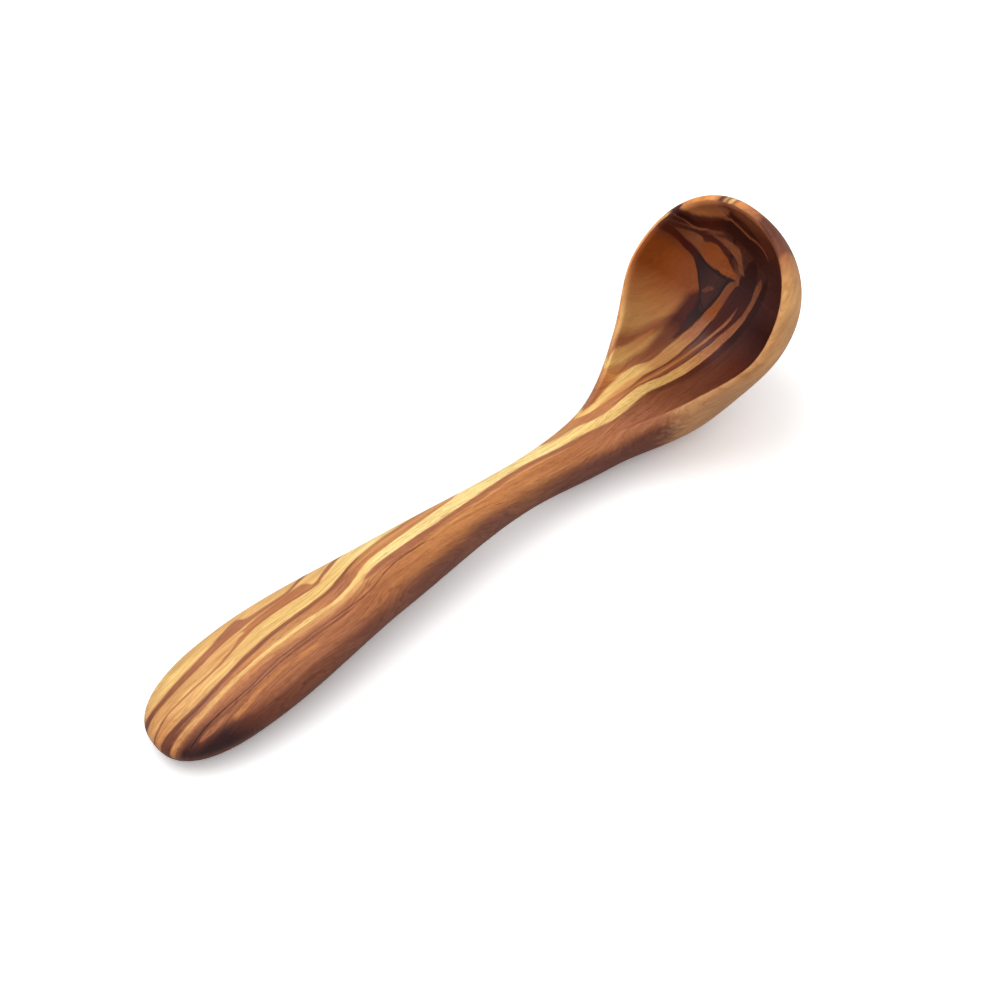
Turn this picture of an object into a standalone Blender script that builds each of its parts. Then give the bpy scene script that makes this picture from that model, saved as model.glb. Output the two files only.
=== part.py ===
# A small olive-wood ladle, carved in one piece from end to end.
# It lies as it would on a table: on the heel of its bowl and on the fat end of its handle.
# +X runs from the handle's end to the bowl's tip, +Y to the left of it, +Z up.
# The origin is on the table, under the middle of the ladle. All lengths are in metres.

import math

import bmesh
import bpy
import numpy as np

MM = 0.001

# Lengths along the top line, which runs over the handle and on along the bowl's rim
END_TO_GRIP = 25.7 * MM
GRIP_TO_NECK = 79.2 * MM
NECK_TO_BOWL = 59.4 * MM
BOWL_TO_TIP = 25.7 * MM

# Widths from side to side
GRIP_WIDTH = 25.4 * MM
MID_HANDLE_WIDTH = 17.2 * MM
NECK_WIDTH = 10.0 * MM
THROAT_WIDTH = 14.1 * MM
SHOULDER_WIDTH = 31.9 * MM
BOWL_WIDTH = 44.7 * MM

# Depths, square to the top line
GRIP_DEPTH = 15.8 * MM
MID_HANDLE_DEPTH = 15.8 * MM
NECK_DEPTH = 13.8 * MM
THROAT_DEPTH = 17.0 * MM
HEEL_DEPTH = 26.3 * MM
BOWL_DEPTH = 23.8 * MM

# The rounded lip and the wood left under the hollow
SIDE_LIP_WIDTH = 2.0 * MM
TIP_LIP_WIDTH = 2.6 * MM
LIP_HEIGHT = 1.6 * MM
FLOOR_THICKNESS = 4.2 * MM

# The hollow runs out in the top of the neck. Its floor sinks later than its lip starts to rise, and
# is at its full depth sooner than the lip is fully drawn out, near the bowl's widest place
LIP_START_PAST_NECK = 6.0 * MM
LIP_FULL_BEFORE_BOWL = 1.3 * MM
FLOOR_START_PAST_NECK = 29.0 * MM
FLOOR_FULL_BEFORE_BOWL = 5.0 * MM

# The top line arches down towards the handle's end and sweeps up along the rim
HANDLE_ARCH = math.radians(-11.5)
BOWL_RISE = math.radians(56.6)
RISE_START_PAST_NECK = 5.9 * MM
RISE_END_PAST_BOWL = 5.9 * MM

# Where the throat and the shoulder lie, as shares of the way from the neck to the bowl
THROAT_SHARE = 0.36
SHOULDER_SHARE = 0.71
DEEP_THROAT_SHARE = 0.4
HEEL_SHARE = 0.72

# How full the curves are: 2 is an ellipse and more is squarer
HANDLE_SECTION = 2.18
BOWL_SECTION = 2.14
END_PLAN = 2.5
TIP_PLAN = 2.17
TIP_FLARE = 0.76

# Sanded spots that the ladle rests on: how far the heel and the handle's end are taken down
REST_SPOT_CUT = 0.3 * MM

# Mesh density: stations along the ladle and steps around half of each section. On the solid
# handle the steps that turn into the hollow end at the crown's edge, up from the side
END_STATIONS = 13
BODY_STATIONS = 42
TIP_STATIONS = 16
HOLLOW_STEPS = 10
LIP_STEPS = 7
WALL_STEPS = 13
CROWN_EDGE = math.radians(50.0)
WELD = 0.001 * MM

# Steps that add up the top line and that rock the ladle level
TOP_LINE_STEPS = 800
ROCKING_STEPS = 20

WOOD_COLOUR = (0.46, 0.23, 0.085, 1.0)
WOOD_ROUGHNESS = 0.42

# Stations measured from the handle's end
GRIP = END_TO_GRIP
NECK = GRIP + GRIP_TO_NECK
BOWL = NECK + NECK_TO_BOWL
TIP = BOWL + BOWL_TO_TIP
MID_HANDLE = (GRIP + NECK) / 2


def ease(t):
    # 0 to 1 with level ends
    t = np.clip(t, 0.0, 1.0)
    return t * t * (3.0 - 2.0 * t)


def faired(x, places, sizes):
    # A smooth curve through the sizes at their places, which never overshoots them
    places = np.array(places)
    sizes = np.array(sizes)
    gaps = np.diff(places)
    slopes = np.diff(sizes) / gaps
    leans = np.zeros(len(places))
    for i in range(1, len(places) - 1):
        before, after = slopes[i - 1], slopes[i]
        if before * after > 0.0:
            leans[i] = 2.0 * before * after / (before + after)
    x = np.clip(x, places[0], places[-1])
    i = np.clip(np.searchsorted(places, x, side="right") - 1, 0, len(gaps) - 1)
    t = (x - places[i]) / gaps[i]
    start = (1.0 + 2.0 * t) * (1.0 - t) ** 2 * sizes[i]
    end = t * t * (3.0 - 2.0 * t) * sizes[i + 1]
    lean_in = t * (1.0 - t) ** 2 * gaps[i] * leans[i]
    lean_out = t * t * (t - 1.0) * gaps[i] * leans[i + 1]
    return start + end + lean_in + lean_out


def along_neck_to_bowl(share):
    return NECK + share * NECK_TO_BOWL


def width_at(s):
    places = [GRIP, MID_HANDLE, NECK, along_neck_to_bowl(THROAT_SHARE), along_neck_to_bowl(SHOULDER_SHARE), BOWL]
    sizes = [GRIP_WIDTH, MID_HANDLE_WIDTH, NECK_WIDTH, THROAT_WIDTH, SHOULDER_WIDTH, BOWL_WIDTH]
    return faired(s, places, sizes)


def depth_at(s):
    places = [GRIP, MID_HANDLE, NECK, along_neck_to_bowl(DEEP_THROAT_SHARE), along_neck_to_bowl(HEEL_SHARE), BOWL]
    sizes = [GRIP_DEPTH, MID_HANDLE_DEPTH, NECK_DEPTH, THROAT_DEPTH, HEEL_DEPTH, BOWL_DEPTH]
    return faired(s, places, sizes)


def stations():
    # Even steps along the body, closing up towards both rounded ends
    a = np.linspace(0.0, math.pi / 2, END_STATIONS + 1)
    end = GRIP * (1.0 - np.cos(a) ** (2.0 / END_PLAN))
    body = np.linspace(GRIP, BOWL, BODY_STATIONS + 1)
    b = np.linspace(0.0, math.pi / 2, TIP_STATIONS + 1)
    tip = BOWL + BOWL_TO_TIP * np.sin(b) ** (2.0 / TIP_PLAN)
    return np.concatenate([end[:-1], body, tip[1:]])


def top_line(s):
    # Place and heading of the top line at each station, from its headings added up in small steps
    fine = np.linspace(0.0, TIP, TOP_LINE_STEPS)
    rise_start = NECK + RISE_START_PAST_NECK
    rise_end = BOWL + RISE_END_PAST_BOWL
    heading = HANDLE_ARCH * ease(fine / NECK)
    heading = heading + BOWL_RISE * ease((fine - rise_start) / (rise_end - rise_start))
    mean = (heading[1:] + heading[:-1]) / 2
    step = np.diff(fine)
    x = np.concatenate([[0.0], np.cumsum(np.cos(mean) * step)])
    z = np.concatenate([[0.0], np.cumsum(np.sin(mean) * step)])
    return np.interp(s, fine, x), np.interp(s, fine, z), np.interp(s, fine, heading)


def quarter(angles, fullness):
    # A quarter of a full oval: across and up, each from 0 to 1, and exactly 0 on the middle plane
    across = np.round(np.abs(np.cos(angles)) ** (2.0 / fullness), 9)
    up = np.abs(np.sin(angles)) ** (2.0 / fullness)
    return across, up


def solid_sections(s):
    # Half sections of the handle: an oval hung under the top line, from the top round to the bottom
    left = np.clip((GRIP - s) / GRIP, 0.0, 1.0)
    closing = (1.0 - left ** END_PLAN) ** (1.0 / END_PLAN)
    half_width = closing * width_at(s) / 2
    full_depth = depth_at(s)
    half_depth = closing * full_depth / 2
    crown = np.linspace(math.pi / 2, CROWN_EDGE, HOLLOW_STEPS + 1)[:-1]
    side = np.linspace(CROWN_EDGE, 0.0, LIP_STEPS + 1)[:-1]
    under = np.linspace(0.0, -math.pi / 2, WALL_STEPS + 1)
    angles = np.concatenate([crown, side, under])
    across, up = quarter(angles, HANDLE_SECTION)
    up = np.sign(angles) * up
    y = half_width[:, None] * across
    h = half_depth[:, None] * up - full_depth[:, None] / 2
    return np.repeat(s[:, None], len(angles), axis=1), y, h


def cup_sections(s):
    # Half sections of the bowl: up the hollow from its floor, over the lip and down the outer wall
    past = np.clip((s - BOWL) / BOWL_TO_TIP, 0.0, 1.0)
    plan = (1.0 - past ** TIP_PLAN) ** (1.0 / TIP_PLAN)
    flare = (1.0 - past ** TIP_PLAN) ** TIP_FLARE
    outer = plan * width_at(s) / 2
    inner = plan * (width_at(s) / 2 - SIDE_LIP_WIDTH)
    wall = flare * (depth_at(s) - LIP_HEIGHT)
    hollow = flare * (depth_at(s) - LIP_HEIGHT - FLOOR_THICKNESS)
    s_inner = s - past * TIP_LIP_WIDTH

    up_hollow = np.linspace(-math.pi / 2, 0.0, HOLLOW_STEPS + 1)[:-1]
    over_lip = np.linspace(0.0, math.pi, LIP_STEPS + 1)[:-1]
    down_wall = np.linspace(0.0, math.pi / 2, WALL_STEPS + 1)
    a_across, a_down = quarter(up_hollow, BOWL_SECTION)
    c_across, c_down = quarter(down_wall, BOWL_SECTION)
    out = (1.0 - np.cos(over_lip)) / 2
    lip = LIP_HEIGHT * (np.sin(over_lip) - 1.0)

    y_hollow = inner[:, None] * a_across
    y_lip = inner[:, None] + (outer - inner)[:, None] * out
    y_wall = outer[:, None] * c_across
    h_hollow = -LIP_HEIGHT - hollow[:, None] * a_down
    h_lip = np.repeat(lip[None, :], len(s), axis=0)
    h_wall = -LIP_HEIGHT - wall[:, None] * c_down
    s_hollow = np.repeat(s_inner[:, None], HOLLOW_STEPS, axis=1)
    s_lip = s_inner[:, None] + (s - s_inner)[:, None] * out
    s_wall = np.repeat(s[:, None], WALL_STEPS + 1, axis=1)
    return (np.hstack([s_hollow, s_lip, s_wall]),
            np.hstack([y_hollow, y_lip, y_wall]),
            np.hstack([h_hollow, h_lip, h_wall]))


def body_points():
    # One row of points for each station. The solid handle's section turns into the hollow cup's
    # between the neck and the bowl, so the hollow runs out in the top of the neck without an edge.
    s = stations()
    floor_start = NECK + FLOOR_START_PAST_NECK
    lip_start = NECK + LIP_START_PAST_NECK
    floor_share = ease((s - floor_start) / (BOWL - FLOOR_FULL_BEFORE_BOWL - floor_start))[:, None]
    lip_share = ease((s - lip_start) / (BOWL - LIP_FULL_BEFORE_BOWL - lip_start))[:, None]
    up_hollow = ease(np.linspace(0.0, 1.0, HOLLOW_STEPS + 1)[:-1])
    towards_lip = np.concatenate([up_hollow, np.ones(LIP_STEPS + WALL_STEPS + 1)])
    share = (1.0 - towards_lip) * floor_share + towards_lip * lip_share
    solid = solid_sections(s)
    cup = cup_sections(s)
    s_all, y, h = [(1.0 - share) * a + share * b for a, b in zip(solid, cup)]
    x, z, heading = top_line(s_all)
    return np.stack([x - np.sin(heading) * h, y, z + np.cos(heading) * h], axis=-1)


def settle(points):
    # Rocks the ladle until the lowest places of its handle and of its bowl are level,
    # lowers it until the table takes off the rest spots, and puts the origin under its middle
    under = points[:, -1, :]
    neck_row = int(np.argmin(np.abs(stations() - NECK)))
    tilt = 0.0
    for _ in range(ROCKING_STEPS):
        lift = -math.sin(tilt) * under[:, 0] + math.cos(tilt) * under[:, 2]
        a = under[int(np.argmin(lift[:neck_row]))]
        b = under[neck_row + int(np.argmin(lift[neck_row:]))]
        tilt = math.atan2(b[2] - a[2], b[0] - a[0])
    x = math.cos(tilt) * points[..., 0] + math.sin(tilt) * points[..., 2]
    z = -math.sin(tilt) * points[..., 0] + math.cos(tilt) * points[..., 2]
    x = x - (x.min() + x.max()) / 2
    z = z - z.min() - REST_SPOT_CUT
    return np.stack([x, points[..., 1], z], axis=-1)


def wood_material():
    wood = bpy.data.materials.new("olive_wood")
    wood.use_nodes = True
    shader = wood.node_tree.nodes["Principled BSDF"]
    shader.inputs["Base Color"].default_value = WOOD_COLOUR
    shader.inputs["Roughness"].default_value = WOOD_ROUGHNESS
    shader.inputs["Metallic"].default_value = 0.0
    wood.diffuse_color = WOOD_COLOUR
    return wood


def half_body(points):
    # The loft's left half, open at the middle plane. Rows that close to a point are welded:
    # at the handle's end, and at the inner and the outer edge of the lip's tip.
    mesh = bmesh.new()
    rows = [[mesh.verts.new(p) for p in row] for row in points]
    for row, following in zip(rows, rows[1:]):
        for i in range(len(row) - 1):
            mesh.faces.new((row[i], row[i + 1], following[i + 1], following[i]))
    bmesh.ops.remove_doubles(mesh, verts=mesh.verts, dist=WELD)
    for face in mesh.faces:
        face.smooth = True
    data = bpy.data.meshes.new("ladle")
    mesh.to_mesh(data)
    mesh.free()
    return data


def table_cutter(points, cutters):
    # A block under the table's surface, wider and longer than the ladle
    reach = float(points[..., 0].max() - points[..., 0].min())
    block = bmesh.new()
    bmesh.ops.create_cube(block, size=1.0)
    bmesh.ops.scale(block, vec=(1.2 * reach, 2.0 * BOWL_WIDTH, BOWL_DEPTH), verts=block.verts)
    bmesh.ops.translate(block, vec=(0.0, 0.0, -BOWL_DEPTH / 2), verts=block.verts)
    data = bpy.data.meshes.new("table_cutter")
    block.to_mesh(data)
    block.free()
    cutter = bpy.data.objects.new("table_cutter", data)
    cutter.hide_render = True
    cutter.display_type = "WIRE"
    cutters.objects.link(cutter)
    return cutter


def build():
    for old in list(bpy.data.objects):
        bpy.data.objects.remove(old, do_unlink=True)
    parts = bpy.data.collections.new("wooden_ladle")
    cutters = bpy.data.collections.new("cutters")
    bpy.context.scene.collection.children.link(parts)
    bpy.context.scene.collection.children.link(cutters)

    points = settle(body_points())
    ladle = bpy.data.objects.new("ladle", half_body(points))
    ladle.data.materials.append(wood_material())
    parts.objects.link(ladle)

    mirror = ladle.modifiers.new("right half", "MIRROR")
    mirror.use_axis = (False, True, False)
    mirror.use_clip = True
    mirror.merge_threshold = WELD

    spots = ladle.modifiers.new("rest spots", "BOOLEAN")
    spots.operation = "DIFFERENCE"
    spots.solver = "EXACT"
    spots.object = table_cutter(points, cutters)


build()
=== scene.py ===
import math

import bmesh
import bpy
from mathutils import Matrix, Vector


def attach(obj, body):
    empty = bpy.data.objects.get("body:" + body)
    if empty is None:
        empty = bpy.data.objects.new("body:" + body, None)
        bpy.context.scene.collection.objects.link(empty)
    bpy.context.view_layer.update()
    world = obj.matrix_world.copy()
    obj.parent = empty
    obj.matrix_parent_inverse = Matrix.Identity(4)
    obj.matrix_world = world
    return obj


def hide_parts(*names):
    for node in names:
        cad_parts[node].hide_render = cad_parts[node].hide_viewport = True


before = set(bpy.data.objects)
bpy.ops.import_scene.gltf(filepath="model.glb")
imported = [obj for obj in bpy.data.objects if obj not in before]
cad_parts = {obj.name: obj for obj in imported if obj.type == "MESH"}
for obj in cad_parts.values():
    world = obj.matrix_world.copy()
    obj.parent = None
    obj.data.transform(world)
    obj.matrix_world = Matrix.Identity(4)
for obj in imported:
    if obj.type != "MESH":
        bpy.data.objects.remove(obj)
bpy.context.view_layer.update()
print("frame loaded:", sorted(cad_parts))

mm = 0.001


# Camera: seen from the near side of the handle's end, 52 degrees above the table

view = {
    "rise": 51.83,             # degrees above the table
    "turn": 39.95,             # degrees from the table's +Y axis
    "distance": 429.2 * mm,
    "lensAngle": 30.0,
    "nearest": 10.0 * mm,      # nothing closer than this is drawn
    "lookAt": (3.81 * mm, -3.19 * mm, 12.0 * mm),
    "raise": 2.66 * mm,        # the aim goes up the picture by this much
}


def placeCamera(values):
    rise = math.radians(values["rise"])
    turn = math.radians(values["turn"])
    right = Vector((math.cos(turn), -math.sin(turn), 0.0))
    level = Vector((math.sin(turn), math.cos(turn), 0.0))
    forward = level * math.cos(rise) - Vector((0.0, 0.0, math.sin(rise)))
    up = level * math.sin(rise) + Vector((0.0, 0.0, math.cos(rise)))
    aim = Vector(values["lookAt"]) + up * values["raise"]
    lens = bpy.data.cameras.new("camera")
    lens.angle = math.radians(values["lensAngle"])
    lens.clip_start = values["nearest"]
    camera = bpy.data.objects.new("camera", lens)
    turned = Matrix((right, up, -forward)).transposed().to_4x4()
    camera.matrix_world = Matrix.Translation(aim - forward * values["distance"]) @ turned
    bpy.context.scene.collection.objects.link(camera)
    bpy.context.scene.camera = camera


# Node trees: one method makes every node, and a number socket can be used in a Python sum

def pickSocket(sockets, key):
    if isinstance(key, int):
        return sockets[key]
    for socket in sockets:
        if key in (socket.identifier, socket.name):
            return socket
    raise KeyError(key)


class Maker:
    def __init__(self, tree):
        self.tree = tree

    def node(self, kind, settings=None, sockets=None):
        made = self.tree.nodes.new(kind)
        for name, value in (settings or {}).items():
            if name == "stops":
                self.setStops(made.color_ramp, value)
            elif name == "points":
                self.setPoints(made.mapping, value)
            else:
                setattr(made, name, value)
        for key, value in (sockets or {}).items():
            self.feed(pickSocket(made.inputs, key), value)
        return made

    def feed(self, socket, value):
        if isinstance(value, Value):
            value = value.socket
        if isinstance(value, bpy.types.NodeSocket):
            self.tree.links.new(value, socket)
        else:
            socket.default_value = value

    def setStops(self, ramp, stops):
        while len(ramp.elements) < len(stops):
            ramp.elements.new(0.5)
        for element, (place, colour) in zip(ramp.elements, sorted(stops)):
            element.position = place
            element.color = tuple(colour) + (1.0,)

    def setPoints(self, mapping, points):
        mapping.extend = "HORIZONTAL"
        curve = mapping.curves[0]
        while len(curve.points) < len(points):
            curve.points.new(0.5, 0.5)
        for point, place in zip(curve.points, points):
            point.location = place
            point.handle_type = "AUTO_CLAMPED"
        mapping.update()

    def value(self, kind, output, settings=None, sockets=None):
        made = self.node(kind, settings, sockets)
        return Value(self, pickSocket(made.outputs, output))


class Value:
    def __init__(self, maker, socket):
        self.maker = maker
        self.socket = socket

    def sum(self, operation, *terms):
        made = self.maker.node("ShaderNodeMath", {"operation": operation}, dict(enumerate(terms)))
        return Value(self.maker, made.outputs[0])

    def __add__(self, other):
        return self.sum("ADD", self, other)

    def __radd__(self, other):
        return self.sum("ADD", other, self)

    def __sub__(self, other):
        return self.sum("SUBTRACT", self, other)

    def __rsub__(self, other):
        return self.sum("SUBTRACT", other, self)

    def __mul__(self, other):
        return self.sum("MULTIPLY", self, other)

    def __rmul__(self, other):
        return self.sum("MULTIPLY", other, self)

    def __truediv__(self, other):
        return self.sum("DIVIDE", self, other)

    def __rtruediv__(self, other):
        return self.sum("DIVIDE", other, self)


# The ladle: a smoothed copy of the solid, with the small unevenness of carving by hand

carving = {
    "smoothingLevels": 2,
    "wobble": 0.10 * mm,       # how far hand work strays from the true form
    "wobbleSize": 28.0 * mm,
    "seed": 3.0,
    "mergeDistance": 0.001 * mm,
    "joinAngle": 50.0,         # degrees between two triangles that were one face
    "shapeAngle": 80.0,        # and how far from square that face's corners may be
}


def mergedCopy(node, name, values):
    copy = bpy.data.objects.new(name, node.data.copy())
    copy.data.materials.clear()
    bpy.context.scene.collection.objects.link(copy)
    mesh = bmesh.new()
    mesh.from_mesh(copy.data)
    bmesh.ops.remove_doubles(mesh, verts=mesh.verts, dist=values["mergeDistance"])
    bmesh.ops.join_triangles(mesh, faces=mesh.faces,
                             angle_face_threshold=math.radians(values["joinAngle"]),
                             angle_shape_threshold=math.radians(values["shapeAngle"]))
    for face in mesh.faces:
        face.smooth = True
    print("faces after joining:", len(mesh.faces), "quads:", sum(len(f.verts) == 4 for f in mesh.faces))
    mesh.to_mesh(copy.data)
    mesh.free()
    return copy


def carvingTree():
    tree = bpy.data.node_groups.new("carving", "GeometryNodeTree")
    for name, kind in (("Geometry", "NodeSocketGeometry"), ("Smoothing Levels", "NodeSocketInt"),
                       ("Wobble", "NodeSocketFloat"), ("Wobble Size", "NodeSocketFloat"),
                       ("Seed", "NodeSocketFloat"), ("Wood", "NodeSocketMaterial")):
        tree.interface.new_socket(name, in_out="INPUT", socket_type=kind)
    tree.interface.new_socket("Geometry", in_out="OUTPUT", socket_type="NodeSocketGeometry")
    maker = Maker(tree)
    given = maker.node("NodeGroupInput")
    smooth = maker.node("GeometryNodeSubdivisionSurface", None, {
        "Mesh": given.outputs["Geometry"], "Level": given.outputs["Smoothing Levels"]})
    place = maker.node("GeometryNodeInputPosition")
    spread = maker.node("ShaderNodeVectorMath", {"operation": "SCALE"}, {
        "Vector": place.outputs[0], "Scale": 1.0 / Value(maker, given.outputs["Wobble Size"])})
    noise = maker.value("ShaderNodeTexNoise", 0, {"noise_dimensions": "4D"}, {
        "Vector": spread.outputs[0], "W": given.outputs["Seed"], "Scale": 1.0, "Detail": 1.0})
    push = (noise - 0.5) * 2.0 * Value(maker, given.outputs["Wobble"])    # noise runs from 0 to 1
    normal = maker.node("GeometryNodeInputNormal")
    offset = maker.node("ShaderNodeVectorMath", {"operation": "SCALE"}, {
        "Vector": normal.outputs[0], "Scale": push})
    moved = maker.node("GeometryNodeSetPosition", None, {
        "Geometry": smooth.outputs[0], "Offset": offset.outputs[0]})
    # the wood's shader reads which way the surface faces
    facing = maker.node("GeometryNodeStoreNamedAttribute", {
        "data_type": "FLOAT_VECTOR", "domain": "POINT"}, {
        "Geometry": moved.outputs[0], "Name": "facing", "Value": normal.outputs[0]})
    shaded = maker.node("GeometryNodeSetShadeSmooth", None, {"Geometry": facing.outputs[0]})
    real = maker.node("GeometryNodeRealizeInstances", None, {"Geometry": shaded.outputs[0]})
    painted = maker.node("GeometryNodeSetMaterial", None, {
        "Geometry": real.outputs[0], "Material": given.outputs["Wood"]})
    maker.node("NodeGroupOutput", None, {"Geometry": painted.outputs[0]})
    return tree


def setInput(modifier, name, value):
    for item in modifier.node_group.interface.items_tree:
        if item.item_type == "SOCKET" and item.in_out == "INPUT" and item.name == name:
            modifier[item.identifier] = value


def finished(piece, name):
    graph = bpy.context.evaluated_depsgraph_get()
    mesh = bpy.data.meshes.new_from_object(piece.evaluated_get(graph))
    mesh.name = name
    made = bpy.data.objects.new(name, mesh)
    bpy.context.scene.collection.objects.link(made)
    bpy.data.objects.remove(piece, do_unlink=True)
    return made


def makeLadle(wood, values):
    blank = mergedCopy(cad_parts["ladle"], "blank", values)
    modifier = blank.modifiers.new("carving", "NODES")
    modifier.node_group = carvingTree()
    setInput(modifier, "Smoothing Levels", values["smoothingLevels"])
    setInput(modifier, "Wobble", values["wobble"])
    setInput(modifier, "Wobble Size", values["wobbleSize"])
    setInput(modifier, "Seed", values["seed"])
    setInput(modifier, "Wood", wood)
    ladle = finished(blank, "carved_ladle")
    print("ladle faces:", len(ladle.data.polygons))
    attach(ladle, "root")
    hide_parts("ladle")
    return ladle


# Olive wood: its figure is drawn on a slanting plan of the ladle, in millimetres: along the length
# (forwards and upwards) and across it (0 in the middle, more is farther). It goes straight through
# the wood, so it meets every carved surface as real figure does. A stroke has edges, as a list of
# (place, lower edge, upper edge), or it is a line, as a list of (place, middle), with a width. Its
# blur is the softness of its lower and its upper edge. Small strokes have a single tone, because
# with a list of tones for every stroke the whole material renders black.

woodTones = {
    "cream": (253, 221, 144),
    "yellow": (248, 203, 124),
    "wheat": (239, 185, 112),
    "tan": (226, 166, 102),
    "honey": (212, 150, 92),
    "orange": (202, 130, 76),
    "apricot": (238, 154, 80),
    "amber": (160, 82, 33),
    "fawn": (197, 140, 92),
    "caramel": (186, 116, 70),
    "russet": (173, 107, 71),
    "brown": (152, 90, 57),
    "umber": (130, 75, 51),
    "cocoa": (116, 67, 53),
    "chestnut": (112, 60, 41),
    "mahogany": (97, 47, 31),
    "maroon": (84, 27, 15),
    "plum": (75, 39, 35),
    "dark": (55, 18, 16),
    "black": (41, 14, 11),
}

figure = {
    "farDip": 2.6,             # the figure dips this far down the far side, in millimetres
    "farTurn": (0.30, 0.70),   # as the wood's surface turns this much to that side
    "sideBlur": 0.5,           # the near and the far tones meet this far to each side of the middle
    "waver": 0.35,             # how far the lines wander
    "fray": 0.34,              # how ragged a line's edge is
    "lineFade": 2.0,           # a line comes in and goes out over this length
    "undersideWoodAndShade": 0.85,         # how much darker brown the handle and the neck are where they face down: partly darker wood, partly painted shade
    "underTurn": (0.12, -0.30),    # from the sides to the underside, by which way the wood faces
    "underFray": 0.3,
    "underEnds": (54.0, 46.0),     # it ends before the bowl
    "streaks": 1.0,            # how strongly each kind of fine grain shows
    "fibres": 0.45,
    "lines": 0.30,
    "mottle": 0.50,
    "pores": 0.22,
    "drift": 0.35,
    "farFineness": 0.55,       # how much less mottle and pores the far side has
    "calm": 0.7,               # how much plainer the bowl's far wall is, and where
    "calmSide": (8.0, 12.0),
    "calmStarts": (44.0, 52.0),
    "frontStarts": (76.0, 81.0),   # where the grain turns to follow the bowl's front
    "frontSide": (-8.0, -2.0),
    "ringWidths": (0.026, 0.020),  # growth lines lie at two heights of one pattern
    "ringGap": 0.10,
    "ringBreaks": (-0.12, 0.10),   # and show only where the streaks are
    "poreEdge": (0.10, 0.24),      # pores are where the noise of dashes is this strong
    "deepening": (1.35, 1.56),     # darker wood is redder: how green and blue fall against red
    "gloss": 0.32,             # strength of the oiled sheen
    "roughness": 0.44,
    "streakRoughness": 0.16,
    "poreRoughness": 0.2,
    "relief": 0.35,            # strength and depth of the grain's relief
    "reliefDepth": 0.06 * mm,
    "reliefOf": {"streaks": 0.4, "pores": 0.7, "mottle": 0.5, "lines": 0.4},
    # length, width and depth of one patch of each noise in millimetres, its detail and roughness
    "grain": {
        "waver": (9.0, 5.0, 12.0, 2.0, 0.5),
        "fray": (2.2, 0.5, 3.0, 3.0, 0.6),
        "streaks": (11.0, 0.55, 5.0, 4.0, 0.65),
        "frontStreaks": (6.0, 0.5, 6.0, 3.0, 0.6),
        "rings": (30.0, 1.3, 9.0, 1.0, 0.4),
        "frontRings": (9.0, 1.2, 9.0, 1.5, 0.5),
        "mottle": (1.1, 0.45, 0.8, 3.0, 0.7),
        "drift": (20.0, 3.5, 7.0, 2.0, 0.5),
        "fibres": (6.0, 0.20, 1.6, 2.0, 0.6),
        "dashes": (1.6, 0.20, 0.5, 2.0, 0.5),
        "shellEdge": (5.0, 1.2, 1.5, 2.0, 0.5),
        "ribbons": (8.0, 3.0, 1.5, 3.0, 0.6),
        "veins": (9.0, 6.0, 3.0, 0.5, 0.5),
    },
}

# The two sheets that strokes are drawn on: where each starts and ends, and what its edges span
lengthwise = {"start": -64.0, "length": 164.0, "low": -25.0, "span": 50.0}
crosswise = {"start": -25.0, "length": 50.0, "low": 56.0, "span": 44.0}

# The ground under the strokes: tones of the near and the far side, and the lines the grain follows.
# Towards the handle's end, below about -56, these tones and the strokes' first tones turn darker: partly
# darker wood, partly painted shade where the end curves down away from the light.

nearTones = ((-64, "black"), (-56, "dark"), (-51, "chestnut"), (-45, "brown"), (-36, "russet"),
             (-22, "russet"), (-10, "caramel"), (0, "orange"), (20, "orange"), (30, "caramel"),
             (41, "russet"), (48, "brown"), (53, "umber"), (59, "chestnut"), (64, "mahogany"),
             (69, "plum"), (74, "dark"), (80, "plum"), (87, "plum"), (93, "mahogany"),
             (97, "brown"))
farTones = ((-64, "caramel"), (-57, "tan"), (-48, "yellow"), (-36, "wheat"), (-20, "wheat"),
            (-8, "yellow"), (0, "cream"), (24, "cream"), (31, "tan"), (36, "caramel"),
            (40, "russet"), (45, "orange"), (50, "wheat"), (60, "tan"), (66, "orange"),
            (72, "amber"), (78, "amber"), (82, "chestnut"), (85, "plum"), (93, "mahogany"),
            (95, "umber"), (97, "brown"))

frontLine = ((-10, 84), (-4, 87), (0, 88), (4, 88.5), (8, 88.2), (12, 87.2), (15, 85.8),
             (17, 84.4), (20, 82))
middleLine = ((-62, -3.6), (-50, -3.6), (-40, -2.4), (-30, -1.3), (-20, -1.0), (-14, 0.4),
              (-8, 2.4), (4, 3.0), (14, 2.2), (26, 1.0), (34, 0.8), (40, 1.4), (46, 1.2),
              (52, 2.6), (60, 3.0), (68, 2.0), (76, 1.0), (92, 1.0))

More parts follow.
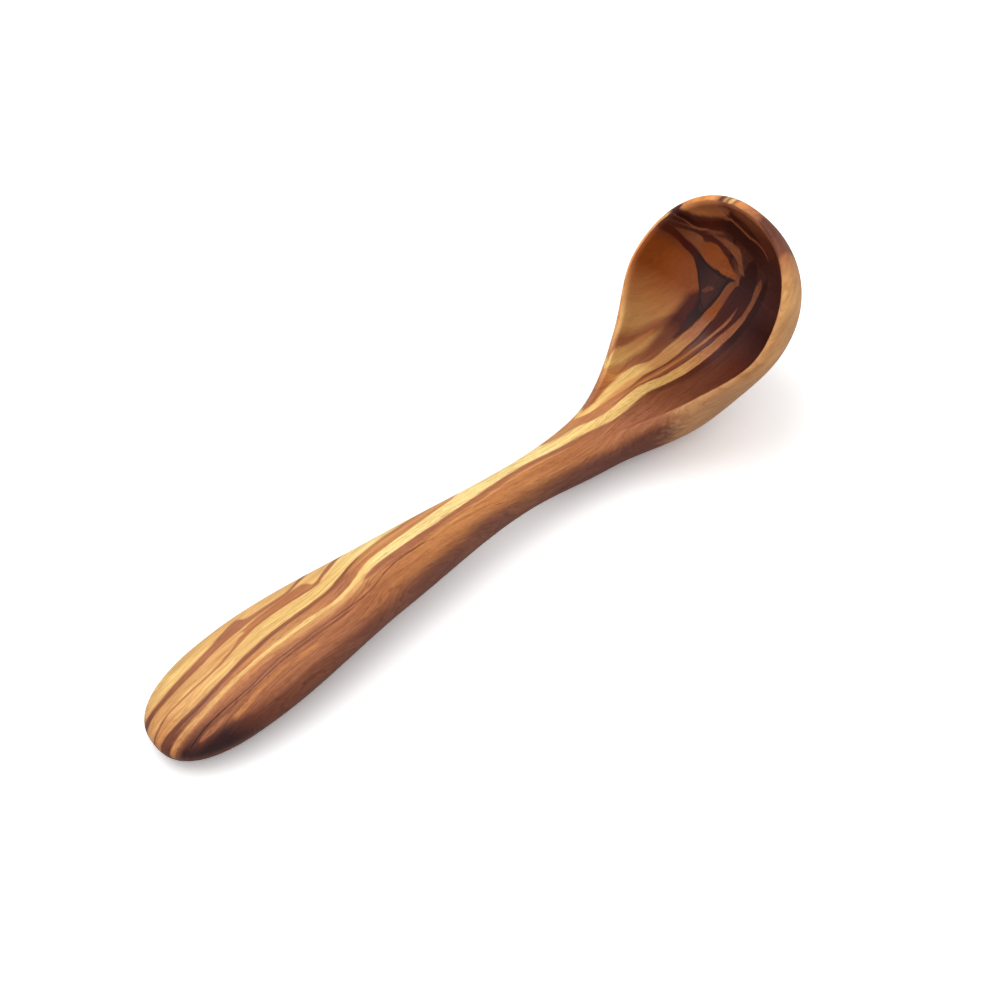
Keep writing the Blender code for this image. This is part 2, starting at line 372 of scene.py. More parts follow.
# Strokes along the ladle, from its far side to its near one
longStrokes = (
    {"name": "far line", "blur": (0.9, 0.8),
     "tones": ((-60, "mahogany"), (-50, "brown"), (-40, "russet"), (-30, "russet"), (-19, "brown")),
     "edges": ((-64, 2.2, 4.0), (-52, 2.6, 4.4), (-46, 3.3, 5.3), (-40, 4.3, 6.6), (-36, 5.0, 8.0),
               (-33, 5.5, 8.9), (-31, 5.8, 7.6), (-27, 6.0, 7.2), (-24, 5.8, 7.0), (-22, 6.4, 7.3),
               (-20, 7.4, 8.7), (-18, 8.6, 10.2), (-15, 10.5, 12.0), (-12, 12.0, 12.0))},
    {"name": "tan strip", "blur": (0.6, 0.6),
     "tones": ((-56, "honey"), (-46, "tan"), (-34, "tan")),
     "edges": ((-62, 0.8, 0.8), (-56, 0.6, 2.6), (-46, 1.2, 3.4), (-38, 2.2, 4.8), (-34, 3.2, 5.4),
               (-30, 4.6, 4.6))},
    {"name": "soft brown", "tone": "caramel", "blur": (0.8, 0.8),
     "edges": ((-33, 4.8, 4.8), (-30, 3.6, 5.6), (-26, 3.8, 6.0), (-21, 3.7, 6.4), (-18, 4.2, 4.2))},
    {"name": "thin line", "blur": (0.5, 0.5),
     "tones": ((-60, "umber"), (-48, "caramel"), (-34, "caramel"), (-18, "russet")),
     "edges": ((-64, -1.1, -0.5), (-57, -0.9, -0.2), (-52, 0.1, 0.7), (-44, 0.4, 1.0),
               (-40, 0.7, 1.4), (-36, 1.6, 2.6), (-32, 3.0, 4.3), (-28, 3.8, 4.6), (-23, 3.6, 4.2),
               (-20, 3.2, 3.9), (-18, 3.2, 4.2), (-16, 4.5, 5.6), (-14, 5.4, 7.0), (-12, 6.8, 8.0),
               (-8, 8.0, 8.0))},
    {"name": "brown between the bands, handle", "blur": (0.6, 0.6),
     "tones": ((-62, "maroon"), (-54, "umber"), (-46, "russet"), (-36, "orange"), (-28, "honey"),
               (-19, "caramel"), (-14, "russet"), (-9, "orange"), (12, "orange")),
     "edges": ((-64, -5.0, -2.0), (-48, -4.9, -1.6), (-40, -4.0, -0.6), (-33, -3.2, 0.8),
               (-26, -2.9, 1.6), (-18, -3.0, 1.2), (-14, -1.6, 2.2), (-12, -0.8, 3.0),
               (-10, 0.2, 3.6), (-8, 0.9, 4.0), (-4, 1.7, 4.5), (0, 2.1, 4.6), (4, 2.4, 4.4),
               (8, 2.8, 4.0), (12, 3.0, 3.8), (15, 3.4, 3.4))},
    {"name": "smudge over the third pale line", "tone": "russet", "blur": (0.8, 1.6),
     "edges": ((47, 11.6, 11.6), (49, 11.4, 12.4), (54, 11.8, 13.4), (60, 11.6, 13.6),
               (66, 11.6, 11.6))},
    {"name": "dark wedge", "blur": (0.7, 2.2),
     "tones": ((46, "caramel"), (50, "russet"), (54, "brown"), (60, "umber"), (64, "maroon"),
               (70, "maroon")),
     "edges": ((46, 8.6, 8.6), (48, 8.0, 9.4), (50, 7.9, 9.9), (52, 7.2, 10.2), (54, 7.0, 10.2),
               (57, 7.5, 10.9), (60, 7.6, 11.7), (62, 7.6, 12.1), (65, 7.3, 12.3), (70, 6.9, 12.3),
               (72, 6.5, 11.4), (73.5, 6.1, 10.4), (76, 6.0, 8.0), (78, 6.0, 6.0))},
    {"name": "black in the wedge", "blur": (0.5, 1.2),
     "tones": ((60, "maroon"), (66, "dark"), (72, "black")),
     "edges": ((59, 8.4, 8.4), (62, 7.9, 8.9), (65, 7.5, 9.6), (69, 7.1, 9.6), (72, 6.5, 10.2),
               (75, 6.0, 11.4), (78, 6.0, 12.0), (80, 7.0, 7.0))},
    {"name": "third pale line", "blur": (0.5, 0.7),
     "tones": ((48, "yellow"), (53, "tan"), (58, "orange")),
     "edges": ((46, 10.2, 10.2), (48, 9.8, 10.9), (50, 10.1, 11.2), (52, 10.4, 11.7),
               (54, 10.7, 12.0), (57, 11.5, 12.4), (60, 12.2, 12.2))},
    {"name": "wide band", "blur": (0.5, 0.45),
     "tones": ((-64, "russet"), (-58, "orange"), (-50, "tan"), (-40, "wheat"), (-28, "yellow"),
               (-14, "yellow"), (-6, "cream"), (30, "cream"), (34, "wheat"), (38, "yellow"),
               (50, "yellow"), (53, "honey"), (59, "honey"), (63, "caramel"), (67, "russet"),
               (70, "amber"), (80, "umber")),
     "edges": ((-64, -2.6, -1.0), (-57, -2.6, -0.8), (-50, -2.7, 0.2), (-40, -1.7, 0.8),
               (-33, -0.2, 2.7), (-26, 0.3, 3.6), (-18, 0.2, 3.2), (-15, 1.0, 4.9),
               (-12, 2.4, 6.8), (-9, 3.7, 8.0), (-4, 4.5, 9.0), (4, 4.6, 9.0), (10, 4.1, 8.0),
               (16, 3.4, 8.0), (28, 4.3, 8.0), (33, 4.7, 6.4), (35, 4.3, 5.3), (38, 3.5, 5.1),
               (41, 2.9, 5.8), (44, 2.3, 6.9), (46, 2.1, 7.4), (48, 3.0, 7.8), (50, 4.3, 8.0),
               (51.5, 4.4, 7.7), (53, 4.2, 7.0), (56, 4.6, 7.3), (60, 4.8, 7.6), (64, 4.8, 7.4),
               (68, 4.4, 7.0), (72, 4.0, 6.5), (76, 4.0, 5.9), (79, 3.8, 5.4), (82, 3.6, 3.6))},
    {"name": "warm edge of the wide band", "tone": "tan", "blur": (0.4, 1.4),
     "edges": ((37, 3.4, 3.4), (40, 2.9, 4.0), (43, 2.4, 4.3), (46, 2.1, 4.7), (48, 2.9, 5.0),
               (50, 4.0, 5.0), (52, 4.4, 4.4))},
    {"name": "brown between the bands, bowl", "blur": (0.5, 0.5),
     "tones": ((24, "honey"), (30, "honey"), (36, "caramel"), (46, "caramel"), (51, "russet"),
               (57, "brown"), (62, "chestnut"), (67, "maroon"), (82, "dark")),
     "edges": ((22, 3.3, 3.3), (25, 2.8, 4.3), (29, 2.2, 4.4), (32, 1.9, 4.8), (33.5, 1.7, 4.7),
               (35, 1.2, 4.4), (37, 0.5, 3.8), (39, 0.0, 3.3), (42, -0.2, 2.6), (45, 0.1, 2.1),
               (47, 0.6, 2.5), (49, 1.2, 3.8), (51, 1.4, 4.3), (53, 1.2, 4.2), (57, 1.5, 4.6),
               (61, 1.5, 4.8), (64, 1.0, 4.8), (68, 0.0, 4.4), (72, -1.2, 4.1), (76, -2.0, 3.9),
               (80, -1.7, 3.4), (84, -1.0, 3.0), (88, 1.0, 1.0))},
    {"name": "glow under the main band", "blur": (1.4, 0.8),
     "tones": ((-60, "umber"), (-50, "russet"), (-36, "orange"), (-24, "honey"), (-10, "tan")),
     "edges": ((-64, -6.6, -5.4), (-48, -6.7, -5.0), (-32, -4.8, -3.2), (-24, -4.6, -3.0),
               (-18, -4.4, -3.0), (-12, -3.4, -1.8), (-8, -2.2, -0.8), (-4, -0.7, -0.7))},
    {"name": "shade under the cream", "blur": (0.9, 0.5),
     "tones": ((-8, "russet"), (0, "russet"), (36, "russet"), (46, "brown")),
     "edges": ((-12, -2.6, -2.6), (-8, -2.6, -1.0), (-2, -2.4, -0.6), (6, -1.6, -0.4),
               (14, -1.1, 0.0), (20, -0.8, 0.4), (26, -1.2, 0.0), (32, -1.9, -0.8),
               (38, -2.8, -1.8), (44, -3.2, -2.3), (49, -1.8, -1.8))},
    {"name": "main band", "blur": (0.5, 0.45),
     "tones": ((-64, "brown"), (-58, "orange"), (-50, "tan"), (-36, "wheat"), (-24, "yellow"),
               (-12, "yellow"), (-7, "cream"), (26, "cream"), (34, "yellow"), (50, "yellow"),
               (54, "wheat"), (58, "honey"), (63, "caramel"), (68, "russet"), (73, "brown"),
               (84, "umber")),
     "edges": ((-64, -5.9, -5.1), (-56, -5.9, -4.9), (-48, -5.7, -4.5), (-40, -4.6, -3.6),
               (-32, -3.6, -2.8), (-24, -3.3, -2.4), (-18, -3.3, -2.6), (-14, -2.6, -1.7),
               (-12, -2.0, -0.8), (-10, -1.3, 0.3), (-8, -0.9, 1.0), (-4, -0.7, 1.5),
               (4, -0.5, 2.3), (10, -0.2, 3.2), (13, 0.0, 5.0), (16, 0.2, 8.0), (21, 0.4, 8.0),
               (24, 0.1, 4.2), (26, -0.2, 2.8), (29, -0.6, 2.1), (33, -1.0, 1.8), (35, -1.3, 1.3),
               (37, -1.7, 0.5), (39, -2.1, 0.0), (42, -2.4, -0.2), (45, -2.3, 0.1),
               (48, -1.7, 1.1), (50, -1.3, 1.5), (52, -1.2, 1.2), (54, -1.1, 1.4), (58, -0.9, 1.7),
               (62, -1.1, 1.4), (66, -1.6, 0.7), (70, -2.5, -0.5), (74, -3.2, -1.7),
               (78, -3.2, -2.0), (82, -3.2, -1.5), (84.5, -2.2, -2.2))},
    {"name": "dark line under the main band", "blur": (1.0, 0.5),
     "tones": ((50, "umber"), (56, "mahogany"), (62, "maroon"), (68, "dark"), (80, "dark")),
     "edges": ((47, -2.2, -2.2), (50, -2.5, -1.4), (54, -2.7, -1.2), (58, -2.6, -1.0),
               (62, -3.0, -1.2), (66, -3.7, -1.7), (70, -4.5, -2.5), (76, -5.2, -3.2),
               (82, -5.0, -3.2), (86, -4.0, -4.0))},
    {"name": "orange in the brown, handle", "tone": "honey", "blur": (0.4, 0.4),
     "edges": ((-14, 0.9, 0.9), (-11, 1.5, 2.0), (-8, 2.1, 2.9), (-4, 2.6, 3.4), (0, 2.9, 3.6),
               (4, 3.1, 3.8), (8, 3.3, 3.8), (12, 3.7, 3.7))},
    {"name": "orange in the brown, bowl", "blur": (0.35, 0.4),
     "tones": ((50, "orange"), (62, "caramel"), (70, "russet"), (74, "umber")),
     "edges": ((47, 1.6, 1.6), (50, 2.0, 2.8), (53, 2.4, 3.1), (56, 2.8, 3.5), (60, 2.8, 3.5),
               (62, 2.5, 3.2), (64, 2.2, 2.9), (66, 1.8, 2.5), (68, 1.2, 1.9), (70, 0.6, 1.3),
               (72, 0.2, 0.9), (76, 0.2, 0.2))},
    {"name": "upper dark line in the bowl", "width": 0.5, "blur": (0.4, 0.4),
     "tones": ((46, "russet"), (51, "umber"), (58, "chestnut"), (64, "dark")),
     "line": ((45, 1.7), (47, 2.1), (49, 3.2), (51, 3.9), (54, 4.0), (57, 4.2), (61, 4.5),
              (65, 4.5), (70, 4.1))},
    {"name": "lower dark line in the bowl", "width": 0.55, "blur": (0.4, 0.4),
     "tones": ((44, "russet"), (50, "brown"), (56, "umber"), (62, "mahogany")),
     "line": ((42, 0.1), (45, 0.3), (47, 0.8), (49, 1.5), (53, 1.7), (56, 1.9), (60, 1.9),
              (63, 1.5), (67, 0.7))},
    {"name": "line under the wide band", "blur": (0.5, 0.4),
     "tones": ((-58, "chestnut"), (-46, "umber"), (-30, "brown"), (-14, "brown")),
     "edges": ((-62, -3.4, -3.4), (-56, -3.7, -2.8), (-48, -3.7, -2.9), (-40, -2.7, -1.9),
               (-34, -1.7, -0.6), (-30, -1.1, -0.1), (-26, -0.7, 0.2), (-20, -0.6, 0.1),
               (-17, -0.3, 0.5), (-14, 0.7, 1.6), (-11, 2.4, 3.0), (-8, 3.8, 3.8))},
    # partly darker wood, partly painted shade: the near side darkens along its lower edge under the
    # handle and the neck
    {"name": "dark wood and painted shade along the lower edge", "blur": (0.8, 1.8),
     "tones": ((-56, "black"), (-48, "dark"), (-42, "chestnut"), (-30, "umber"), (-12, "cocoa"),
               (30, "cocoa"), (44, "chestnut")),
     "edges": ((-64, -13.0, -6.4), (-58, -14.0, -8.2), (-54, -15.0, -9.0), (-50, -15.0, -9.4),
               (-46, -15.0, -9.6), (-43, -15.0, -10.4), (-38, -15.0, -11.0), (-28, -15.0, -10.5),
               (-18, -15.0, -9.3), (-8, -15.0, -7.6), (2, -15.0, -6.0), (12, -15.0, -4.7),
               (20, -15.0, -4.7), (28, -15.0, -5.3), (36, -15.0, -7.2), (44, -15.0, -10.2),
               (50, -15.0, -15.0))},
    {"name": "eye low on the handle", "tone": "russet", "blur": (0.4, 0.4),
     "edges": ((-52.5, -8.5, -8.5), (-50, -8.9, -8.1), (-47, -9.2, -8.3), (-44, -8.9, -8.4),
               (-42, -8.6, -8.6))},
    {"name": "pale streak low on the handle", "tone": "orange", "width": 0.7, "blur": (0.6, 0.6),
     "line": ((-45, -9.8), (-41, -9.3), (-37, -8.5), (-31, -8.0), (-24, -8.2))},
    {"name": "hairline", "width": 0.26, "blur": (0.26, 0.26),
     "tones": ((-54, "black"), (-44, "maroon"), (-34, "umber"), (0, "umber")),
     "line": ((-55, -7.9), (-50, -7.6), (-46, -7.3), (-41, -7.2), (-38, -7.0), (-34, -6.3),
              (-30, -5.9), (-26, -5.7), (-20, -5.6), (-15, -5.5), (-11.5, -5.0), (-9.5, -4.3),
              (-7.5, -3.5), (-4, -2.9), (2, -2.9))},
    {"name": "lower hairline", "tone": "umber", "width": 0.24, "blur": (0.26, 0.26),
     "line": ((-47, -8.0), (-40, -7.7), (-36, -7.3), (-32, -6.8), (-28, -6.5), (-22, -6.4),
              (-16, -6.1))},
    {"name": "light line in the neck", "tone": "honey", "width": 0.25, "blur": (0.3, 0.3),
     "line": ((0, -2.9), (8, -2.3), (14, -1.6), (20, -1.2), (26, -1.5), (31, -2.0))},
)

# Strokes across the front of the bowl, which is steep: their places are across the ladle, and
# their edges lie along it
crossStrokes = (
    {"name": "dark front", "blur": (1.4, 0.7),
     "tones": ((-5, "plum"), (2, "dark"), (9, "dark"), (13, "maroon"), (17, "dark")),
     "edges": ((-9, 88.0, 88.0), (-5, 86.0, 89.6), (-2, 86.4, 90.4), (2, 87.6, 91.0),
               (5, 88.4, 91.6), (8, 88.7, 92.4), (10, 88.9, 91.3), (12, 88.0, 90.0),
               (14, 86.8, 88.5), (16, 85.8, 87.1), (17.5, 86.0, 88.2), (19.5, 87.0, 87.0))},
    {"name": "dark line under the orange strip", "tone": "dark", "width": 0.7, "blur": (0.5, 0.5),
     "line": ((-2, 90.6), (0, 91.6), (1.6, 92.0), (4, 92.4), (5.5, 92.8), (7.2, 93.3), (8.8, 93.5),
              (10, 93.6))},
    {"name": "orange strip under the lip", "blur": (1.0, 0.5),
     "tones": ((7, "umber"), (10, "russet"), (13, "caramel"), (16, "orange")),
     "edges": ((5, 97.0, 97.0), (6.4, 95.4, 99), (7.2, 94.4, 99), (8.2, 93.3, 99), (9, 92.4, 99),
               (10, 91.8, 99), (12, 90.7, 99), (14, 89.5, 99), (16, 88.3, 99), (17.4, 88.2, 99),
               (19, 90.0, 90.0))},
    {"name": "second brown stripe", "blur": (0.5, 0.9),
     "tones": ((3.4, "umber"), (6, "brown"), (12, "umber")),
     "edges": ((2.4, 82.3, 82.3), (3.4, 82.2, 83.6), (4.4, 82.8, 85.2), (5.4, 84.2, 87.0),
               (6.6, 84.9, 87.4), (8, 85.4, 87.5), (9.4, 85.9, 87.5), (10.6, 86.2, 87.2),
               (12, 86.3, 86.9), (13.6, 86.6, 86.6))},
    {"name": "streak in the dark", "tone": "umber", "width": 0.4, "blur": (0.4, 0.5),
     "line": ((9, 88.3), (10, 88.1), (12, 87.5), (13.8, 86.8), (15, 86.0), (16.2, 85.3),
              (17.4, 84.9), (19, 83.8))},
    {"name": "lens", "blur": (0.4, 0.5),
     "tones": ((3.4, "umber"), (6, "amber"), (13, "amber"), (15, "brown"), (18, "umber")),
     "edges": ((2.9, 79.7, 79.7), (3.4, 79.1, 81.0), (4, 80.3, 81.4), (5, 80.4, 81.7),
               (6, 80.1, 81.9), (7, 79.7, 82.6), (8, 79.5, 83.5), (9, 79.8, 83.9),
               (10, 79.9, 84.4), (11, 79.9, 84.9), (12, 79.9, 84.8), (13, 80.2, 84.4),
               (13.8, 80.9, 83.9), (14.6, 81.4, 84.6), (16, 81.8, 84.4), (17, 82.1, 84.0),
               (18.6, 83.0, 83.0))},
    {"name": "dark line beside the lens", "tone": "maroon", "width": 0.8, "blur": (0.5, 0.5),
     "line": ((4.4, 82.0), (5.2, 82.3), (6, 82.7), (7.2, 83.6), (8.2, 84.3), (9.4, 84.9),
              (10.6, 85.4), (12, 85.6), (13.2, 85.5), (14.4, 85.1), (15.6, 84.9))},
    {"name": "knot and the line up to the lip", "blur": (0.45, 0.45),
     "tones": ((5, "dark"), (9, "plum"), (13, "dark"), (17, "maroon"), (20, "mahogany")),
     "edges": ((4.0, 80.1, 80.1), (4.6, 79.7, 80.2), (5.4, 78.6, 80.0), (6, 74.5, 79.8),
               (6.6, 71.6, 79.4), (7.2, 69.0, 79.2), (8, 69.0, 79.1), (9, 70.5, 79.3),
               (10, 72.0, 79.4), (11, 73.6, 79.5), (12, 75.0, 79.7), (13, 76.6, 80.1),
               (14, 78.0, 80.7), (15, 79.1, 81.2), (16, 79.6, 81.6), (17, 79.9, 81.8),
               (18, 80.6, 82.6), (19.2, 81.2, 84.0), (21, 82.4, 85.6))},
    {"name": "red in the knot", "tone": "chestnut", "blur": (0.5, 0.5),
     "edges": ((7.8, 75.2, 75.2), (8.4, 74.6, 75.7), (9.2, 73.4, 75.3), (9.8, 73.2, 74.2),
               (10.2, 73.6, 73.6))},
    {"name": "dark line in the front", "tone": "dark", "width": 0.5, "blur": (0.5, 0.5),
     "line": ((-3.4, 89.0), (-1, 90.6), (0.9, 91.8), (2.6, 92.8), (4.7, 93.5), (6.8, 93.6),
              (8, 94.4))},
    {"name": "second dark line in the front", "tone": "dark", "width": 0.5, "blur": (0.5, 0.5),
     "line": ((3.0, 90.4), (5, 91.3), (7.3, 92.1), (9, 92.9), (10, 94.0))},
    {"name": "light streak in the front", "tone": "brown", "width": 0.45, "blur": (0.45, 0.45),
     "line": ((-4, 88.9), (-3, 89.6), (-0.8, 91.0), (1.2, 91.4), (2.8, 91.3), (4.6, 91.6),
              (6.6, 92.0), (8, 92.3), (9, 92.0), (11, 91.4))},
    {"name": "light streak, upper", "tone": "brown", "width": 0.45, "blur": (0.45, 0.5),
     "line": ((12.4, 87.2), (13.8, 86.6), (15, 85.9), (16.2, 85.6), (17.2, 86.0), (18.4, 86.3))},
    {"name": "light streak, middle", "tone": "umber", "width": 0.6, "blur": (0.6, 0.6),
     "line": ((9.6, 88.8), (10.8, 88.1), (12.5, 87.0), (14.4, 85.4))},
)

# Lines that lie over all of these
knotLines = (
    {"name": "knot's left line", "tone": "black", "width": 0.6, "blur": (0.6, 0.6),
     "line": ((6.6, 70.2), (7.4, 69.6), (8.6, 70.4), (10, 72.4), (11, 74.0), (12, 75.4),
              (13, 77.0), (15, 79.2))},
    {"name": "knot's right line", "tone": "black", "width": 0.6, "blur": (0.6, 0.6),
     "line": ((4.2, 79.9), (6, 79.5), (8, 79.0), (10, 79.1), (12, 79.4), (13.4, 80.1), (15, 80.6))},
)
knotFloor = {"name": "knot's lower line", "tone": "black", "width": 0.6, "blur": (0.4, 0.4),
             "line": ((66, 7.4), (69, 7.2), (72, 6.6), (75, 6.2), (78, 6.1), (81, 5.6))}

# The outside of the bowl and its lip: tones across the ladle, for the front and for the sides. Their
# apricot on the far side and the front lip is partly paler outer wood, partly a painted highlight on the
# crest.
lipTones = ((-20, "tan"), (-16, "honey"), (-13, "caramel"), (-12, "umber"), (-8, "chestnut"),
            (-3.6, "chestnut"), (-1, "caramel"), (2, "orange"), (4, "apricot"), (4.6, "orange"),
            (5.1, "russet"), (5.6, "cream"), (6.2, "wheat"), (6.7, "umber"), (7.3, "tan"),
            (7.9, "umber"), (8.7, "maroon"), (9.3, "orange"), (10.4, "apricot"), (16.3, "apricot"),
            (17.0, "maroon"), (18.3, "maroon"), (19.2, "tan"), (22, "tan"))
sideTones = ((-22, "honey"), (-18, "fawn"), (-12, "fawn"), (-8, "russet"), (0, "umber"),
             (8, "caramel"), (14, "tan"), (22, "apricot"))
shell = {
    "centre": (66.0, 0.0, 30.0),   # what the inside of the bowl looks at
    "starts": (46.0, 54.0),        # the pale outside fades in along the ladle
    "startRaggedness": 11.0,
    "nearReach": 0.42,             # how far the near side's pale wood comes over its lip
    "nearSide": (-2.0, -9.0),
    "lip": (-0.12, 0.16),          # inside to outside, by which way the wood faces
    "lipRaggedness": 0.5,
    "front": (80.0, 87.0),         # the side's tones give way to the front's
    "slope": 0.55,                 # its ribbons climb with the bowl
    "ribbons": 0.75,
    "veins": 0.15,
    "veinWidth": 0.04,
    "mottle": 0.12,
    "pores": 0.12,
}


def linear(colour):
    if isinstance(colour, str):
        colour = woodTones[colour]
    return tuple((part / 255) ** 2.2 for part in colour)


def smooth(maker, value, low, high):
    return maker.value("ShaderNodeMapRange", "Result", {"interpolation_type": "SMOOTHSTEP"}, {
        "Value": value, "From Min": low, "From Max": high, "To Min": 0.0, "To Max": 1.0})


def blend(maker, factor, under, over, kind="MIX"):
    return maker.value("ShaderNodeMix", "Result_Color", {"data_type": "RGBA", "blend_type": kind}, {
        "Factor_Float": factor, "A_Color": under, "B_Color": over})


def joined(maker, first, second, third):
    return maker.value("ShaderNodeCombineXYZ", "Vector", None, {0: first, 1: second, 2: third})


def grain(maker, name, along, across, deep):
    # a noise about zero, stretched to one of the sizes above
    length, width, depth, detail, rough = figure["grain"][name]
    return maker.value("ShaderNodeTexNoise", 0, None, {
        "Vector": joined(maker, along / length, across / width, deep / depth),
        "Scale": 1.0, "Detail": detail, "Roughness": rough}) - 0.5


class Plan:
    def __init__(self, maker, along, across, sheet):
        self.maker = maker
        self.sheet = sheet
        self.along = along
        self.across = across
        self.share = (along - sheet["start"]) / sheet["length"]

    def place(self, along):
        return (along - self.sheet["start"]) / self.sheet["length"]

    def curve(self, points):
        low, span = self.sheet["low"], self.sheet["span"]
        spots = [(self.place(along), (across - low) / span) for along, across in points]
        height = self.maker.value("ShaderNodeFloatCurve", "Value", {"points": spots}, {
            "Value": self.share})
        return height * span + low

    def tones(self, stops):
        stops = [(self.place(along), linear(colour)) for along, colour in stops]
        return self.maker.value("ShaderNodeValToRGB", "Color", {"stops": stops}, {"Fac": self.share})

    def mask(self, stroke):
        lowBlur, highBlur = stroke["blur"]
        if "line" in stroke:
            middle = self.curve(stroke["line"])
            low, high = middle - stroke["width"] / 2, middle + stroke["width"] / 2
            first, last = stroke["line"][0][0], stroke["line"][-1][0]
            fade = figure["lineFade"]
            shown = smooth(self.maker, self.along, first, first + fade)
            shown = shown * smooth(self.maker, self.along, last, last - fade)
        else:
            low = self.curve([(along, lower) for along, lower, upper in stroke["edges"]])
            high = self.curve([(along, upper) for along, lower, upper in stroke["edges"]])
            shown = smooth(self.maker, high - low, 0.0, min(lowBlur, highBlur))
        rise = (self.across - low) / lowBlur
        fall = (high - self.across) / highBlur
        return shown * smooth(self.maker, rise.sum("MINIMUM", rise, fall), -0.5, 0.5)

    def paint(self, colour, stroke):
        over = linear(stroke["tone"]) + (1.0,) if "tone" in stroke else self.tones(stroke["tones"])
        return blend(self.maker, self.mask(stroke), colour, over)


def outwardness(maker, facing, where, values):
    # 1 where the wood faces away from the middle of the bowl, -1 where it faces it
    centre = tuple(part * mm for part in values["centre"])
    towards = maker.node("ShaderNodeVectorMath", {"operation": "SUBTRACT"}, {0: centre, 1: where})
    towards = maker.node("ShaderNodeVectorMath", {"operation": "NORMALIZE"}, {0: towards.outputs[0]})
    dot = maker.node("ShaderNodeVectorMath", {"operation": "DOT_PRODUCT"}, {
        0: facing, 1: towards.outputs[0]})
    return 0.0 - Value(maker, dot.outputs["Value"])


def tinted(maker, colour, shade, deepening):
    # darker wood is also redder: green and blue follow the shade more strongly than red
    change = shade - 1.0
    green = 1.0 + change * deepening[0]
    blue = 1.0 + change * deepening[1]
    return blend(maker, 1.0, colour, joined(maker, shade, green, blue), "MULTIPLY")


def thinLines(maker, pattern, width):
    # contour lines of a smooth pattern: long wavering lines, like growth rings
    return smooth(maker, pattern.sum("ABSOLUTE", pattern), width, 0.0)


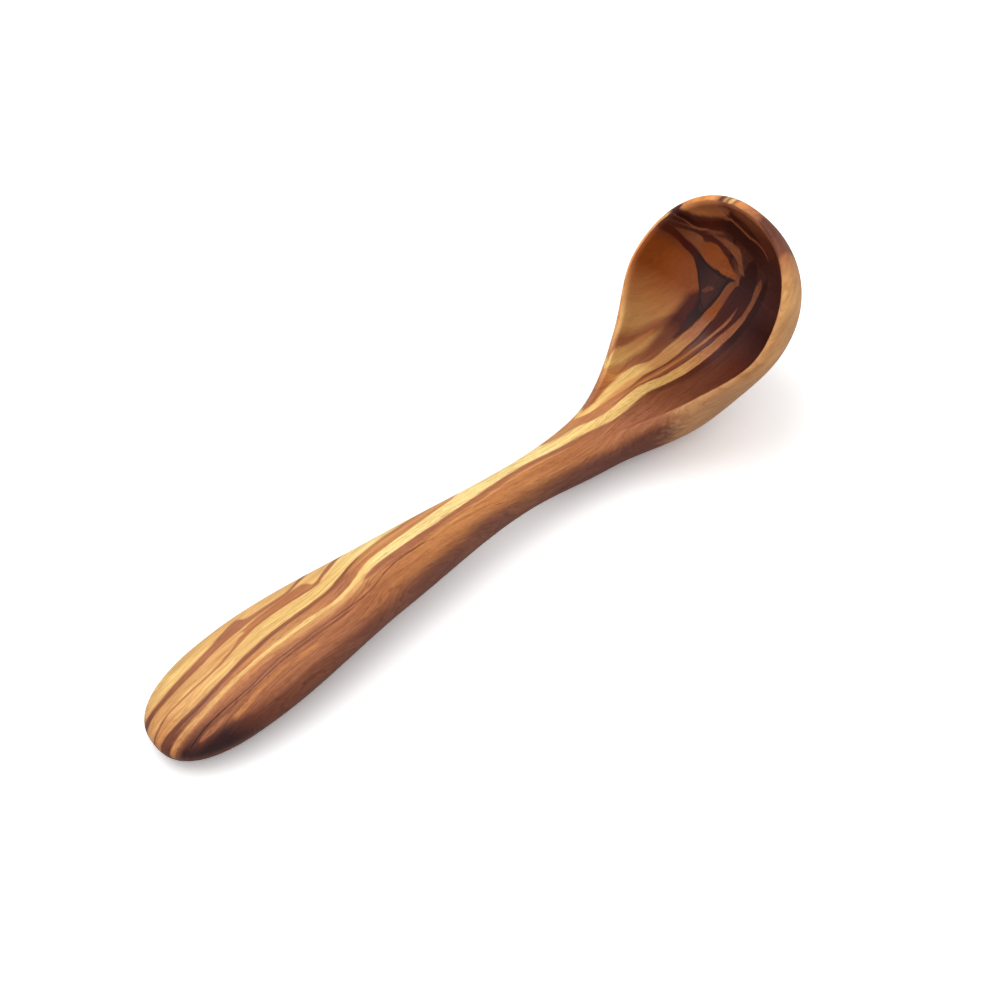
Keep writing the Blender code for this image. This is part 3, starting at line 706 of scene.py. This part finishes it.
def oliveWood(values):
    wood = bpy.data.materials.new("olive_wood")
    wood.use_nodes = True
    maker = Maker(wood.node_tree)
    shader = wood.node_tree.nodes["Principled BSDF"]
    where = maker.node("ShaderNodeTexCoord").outputs["Object"]
    split = maker.node("ShaderNodeSeparateXYZ", None, {0: where})
    x, y, z = [Value(maker, split.outputs[axis]) / mm for axis in range(3)]
    along = (x + z) * math.sqrt(0.5)
    steep = (z - x) * math.sqrt(0.5)
    waver = grain(maker, "waver", along, y, z)
    fray = grain(maker, "fray", along, y, z)
    strayed = waver * values["waver"] + fray * values["fray"]
    facing = maker.node("ShaderNodeAttribute", {"attribute_name": "facing"}).outputs["Vector"]
    turned = maker.node("ShaderNodeSeparateXYZ", None, {0: facing})
    toFar, up = [Value(maker, turned.outputs[axis]) for axis in (1, 2)]
    dip = smooth(maker, toFar, *values["farTurn"]) * (1.0 - up) * values["farDip"]
    across = y + strayed - dip
    long = Plan(maker, along, across, lengthwise)
    cross = Plan(maker, across, along + strayed, crosswise)

    middle = long.curve(middleLine)
    farSide = smooth(maker, across - middle, -values["sideBlur"], values["sideBlur"])
    colour = blend(maker, farSide, long.tones(nearTones), long.tones(farTones))
    for stroke in longStrokes:
        colour = long.paint(colour, stroke)
    for stroke in crossStrokes:
        colour = cross.paint(colour, stroke)
    colour = long.paint(colour, knotFloor)
    for stroke in knotLines:
        colour = cross.paint(colour, stroke)

    # painted shade and darker wood: brown where the handle and the neck face down
    under = smooth(maker, up + fray * values["underFray"], *values["underTurn"])
    under = under * smooth(maker, x, *values["underEnds"]) * values["undersideWoodAndShade"]
    colour = blend(maker, under, colour, linear("chestnut") + (1.0,))

    # fine grain: streaks that follow the figure, growth lines, mottling and pores
    flow = across - middle
    inFront = smooth(maker, along, *values["frontStarts"])
    inFront = inFront * smooth(maker, across, *values["frontSide"])
    frontFlow = along + strayed - cross.curve(frontLine)
    streaks = grain(maker, "streaks", along, flow, z)
    frontStreaks = grain(maker, "frontStreaks", across, frontFlow, steep)
    rings = grain(maker, "rings", along, flow, z)
    frontRings = grain(maker, "frontRings", across, frontFlow, steep)
    streaks = streaks + (frontStreaks - streaks) * inFront
    rings = rings + (frontRings - rings) * inFront
    firstWidth, secondWidth = values["ringWidths"]
    lines = thinLines(maker, rings, firstWidth)
    lines = lines + thinLines(maker, rings - values["ringGap"], secondWidth)
    lines = lines * smooth(maker, streaks, *values["ringBreaks"])
    mottle = grain(maker, "mottle", along, flow, z)
    drift = grain(maker, "drift", along, flow, z)
    fibres = grain(maker, "fibres", along, flow, z)
    dashes = grain(maker, "dashes", along, flow, z)
    pores = smooth(maker, dashes, *values["poreEdge"])
    rough = 1.0 - farSide * values["farFineness"]
    onFarWall = smooth(maker, across, *values["calmSide"])
    onFarWall = onFarWall * smooth(maker, along, *values["calmStarts"])
    calm = 1.0 - onFarWall * values["calm"]
    shade = 1.0 + (streaks * values["streaks"] + fibres * values["fibres"]) * calm
    shade = shade + drift * values["drift"] - lines * values["lines"] * calm
    shade = shade + (mottle * values["mottle"] - pores * values["pores"]) * rough

    # the bowl's outside and its lip
    outward = outwardness(maker, facing, where, shell)
    near = smooth(maker, across, *shell["nearSide"])
    starts = x + grain(maker, "shellEdge", along, y, z) * shell["startRaggedness"]
    outside = outward + near * shell["nearReach"] + fray * shell["lipRaggedness"]
    outside = smooth(maker, outside, *shell["lip"]) * smooth(maker, starts, *shell["starts"])
    towardsFront = smooth(maker, along, *shell["front"])
    # toward the far side and on the front lip these tones turn apricot: partly paler outer wood, partly
    # a painted highlight on the crest
    side = blend(maker, towardsFront, cross.tones(sideTones), cross.tones(lipTones))
    colour = blend(maker, outside, colour, side)
    climb = z - x * shell["slope"]
    ribbons = grain(maker, "ribbons", along, y, climb)
    veins = thinLines(maker, grain(maker, "veins", along, y, climb), shell["veinWidth"])
    sideShade = 1.0 + ribbons * shell["ribbons"] - veins * shell["veins"]
    sideShade = sideShade + mottle * shell["mottle"] - pores * shell["pores"]
    shade = shade + (sideShade - shade) * outside
    maker.feed(shader.inputs["Base Color"], tinted(maker, colour, shade, values["deepening"]))

    roughness = values["roughness"] + streaks * values["streakRoughness"]
    roughness = roughness + pores * values["poreRoughness"]
    maker.feed(shader.inputs["Roughness"], roughness)
    shader.inputs["Specular IOR Level"].default_value = values["gloss"]
    parts = values["reliefOf"]
    height = streaks * parts["streaks"] - pores * parts["pores"]
    height = height + mottle * parts["mottle"] - lines * parts["lines"]
    bump = maker.node("ShaderNodeBump", None, {
        "Height": height, "Strength": values["relief"], "Distance": values["reliefDepth"]})
    maker.feed(shader.inputs["Normal"], bump.outputs[0])
    return wood


# Floor, light and background

studio = {
    "floorSize": 3.0,          # metres
    "floorColour": 0.50,
    "floorWhiteness": 2.70,    # how much paler the camera sees the floor, as in a bright photograph
    "skyStrength": 0.78,
    # name, place, size in metres and power in watts
    "lamps": (
        ("key", (-0.25, 0.35, 1.30), 0.90, 5.0),
        ("fill", (-0.45, -0.60, 1.00), 0.90, 1.2),
    ),
}


def makeFloor(values):
    mesh = bpy.data.meshes.new("floor")
    half = values["floorSize"] / 2
    corners = [(-half, -half, 0.0), (half, -half, 0.0), (half, half, 0.0), (-half, half, 0.0)]
    mesh.from_pydata(corners, [], [(0, 1, 2, 3)])
    floor = bpy.data.objects.new("floor", mesh)
    bpy.context.scene.collection.objects.link(floor)
    paper = bpy.data.materials.new("white_paper")
    paper.use_nodes = True
    paper.node_tree.nodes.clear()
    maker = Maker(paper.node_tree)
    path = maker.node("ShaderNodeLightPath")
    seen = Value(maker, path.outputs["Is Camera Ray"])
    bright = values["floorColour"] * (1.0 + seen * (values["floorWhiteness"] - 1.0))
    diffuse = maker.node("ShaderNodeBsdfDiffuse", None, {"Color": joined(maker, bright, bright, bright)})
    maker.node("ShaderNodeOutputMaterial", None, {"Surface": diffuse.outputs[0]})
    floor.data.materials.append(paper)


def lightStudio(values):
    world = bpy.data.worlds.new("studio")
    bpy.context.scene.world = world
    world.use_nodes = True
    world.node_tree.nodes.clear()
    maker = Maker(world.node_tree)
    path = maker.node("ShaderNodeLightPath")
    seen = Value(maker, path.outputs["Is Camera Ray"])
    strength = seen * (1.0 - values["skyStrength"]) + values["skyStrength"]
    sky = maker.node("ShaderNodeBackground", None, {"Color": (1.0, 1.0, 1.0, 1.0), "Strength": strength})
    maker.node("ShaderNodeOutputWorld", None, {"Surface": sky.outputs[0]})
    for name, place, size, power in values["lamps"]:
        lamp = bpy.data.lights.new(name, "AREA")
        lamp.size = size
        lamp.energy = power
        holder = bpy.data.objects.new(name, lamp)
        holder.location = place
        holder.rotation_euler = (-Vector(place)).to_track_quat("-Z", "Y").to_euler()
        bpy.context.scene.collection.objects.link(holder)


bpy.context.scene.view_settings.view_transform = "Standard"
placeCamera(view)
makeFloor(studio)
lightStudio(studio)
print("studio ready")
makeLadle(oliveWood(figure), carving)
print("ladle ready")
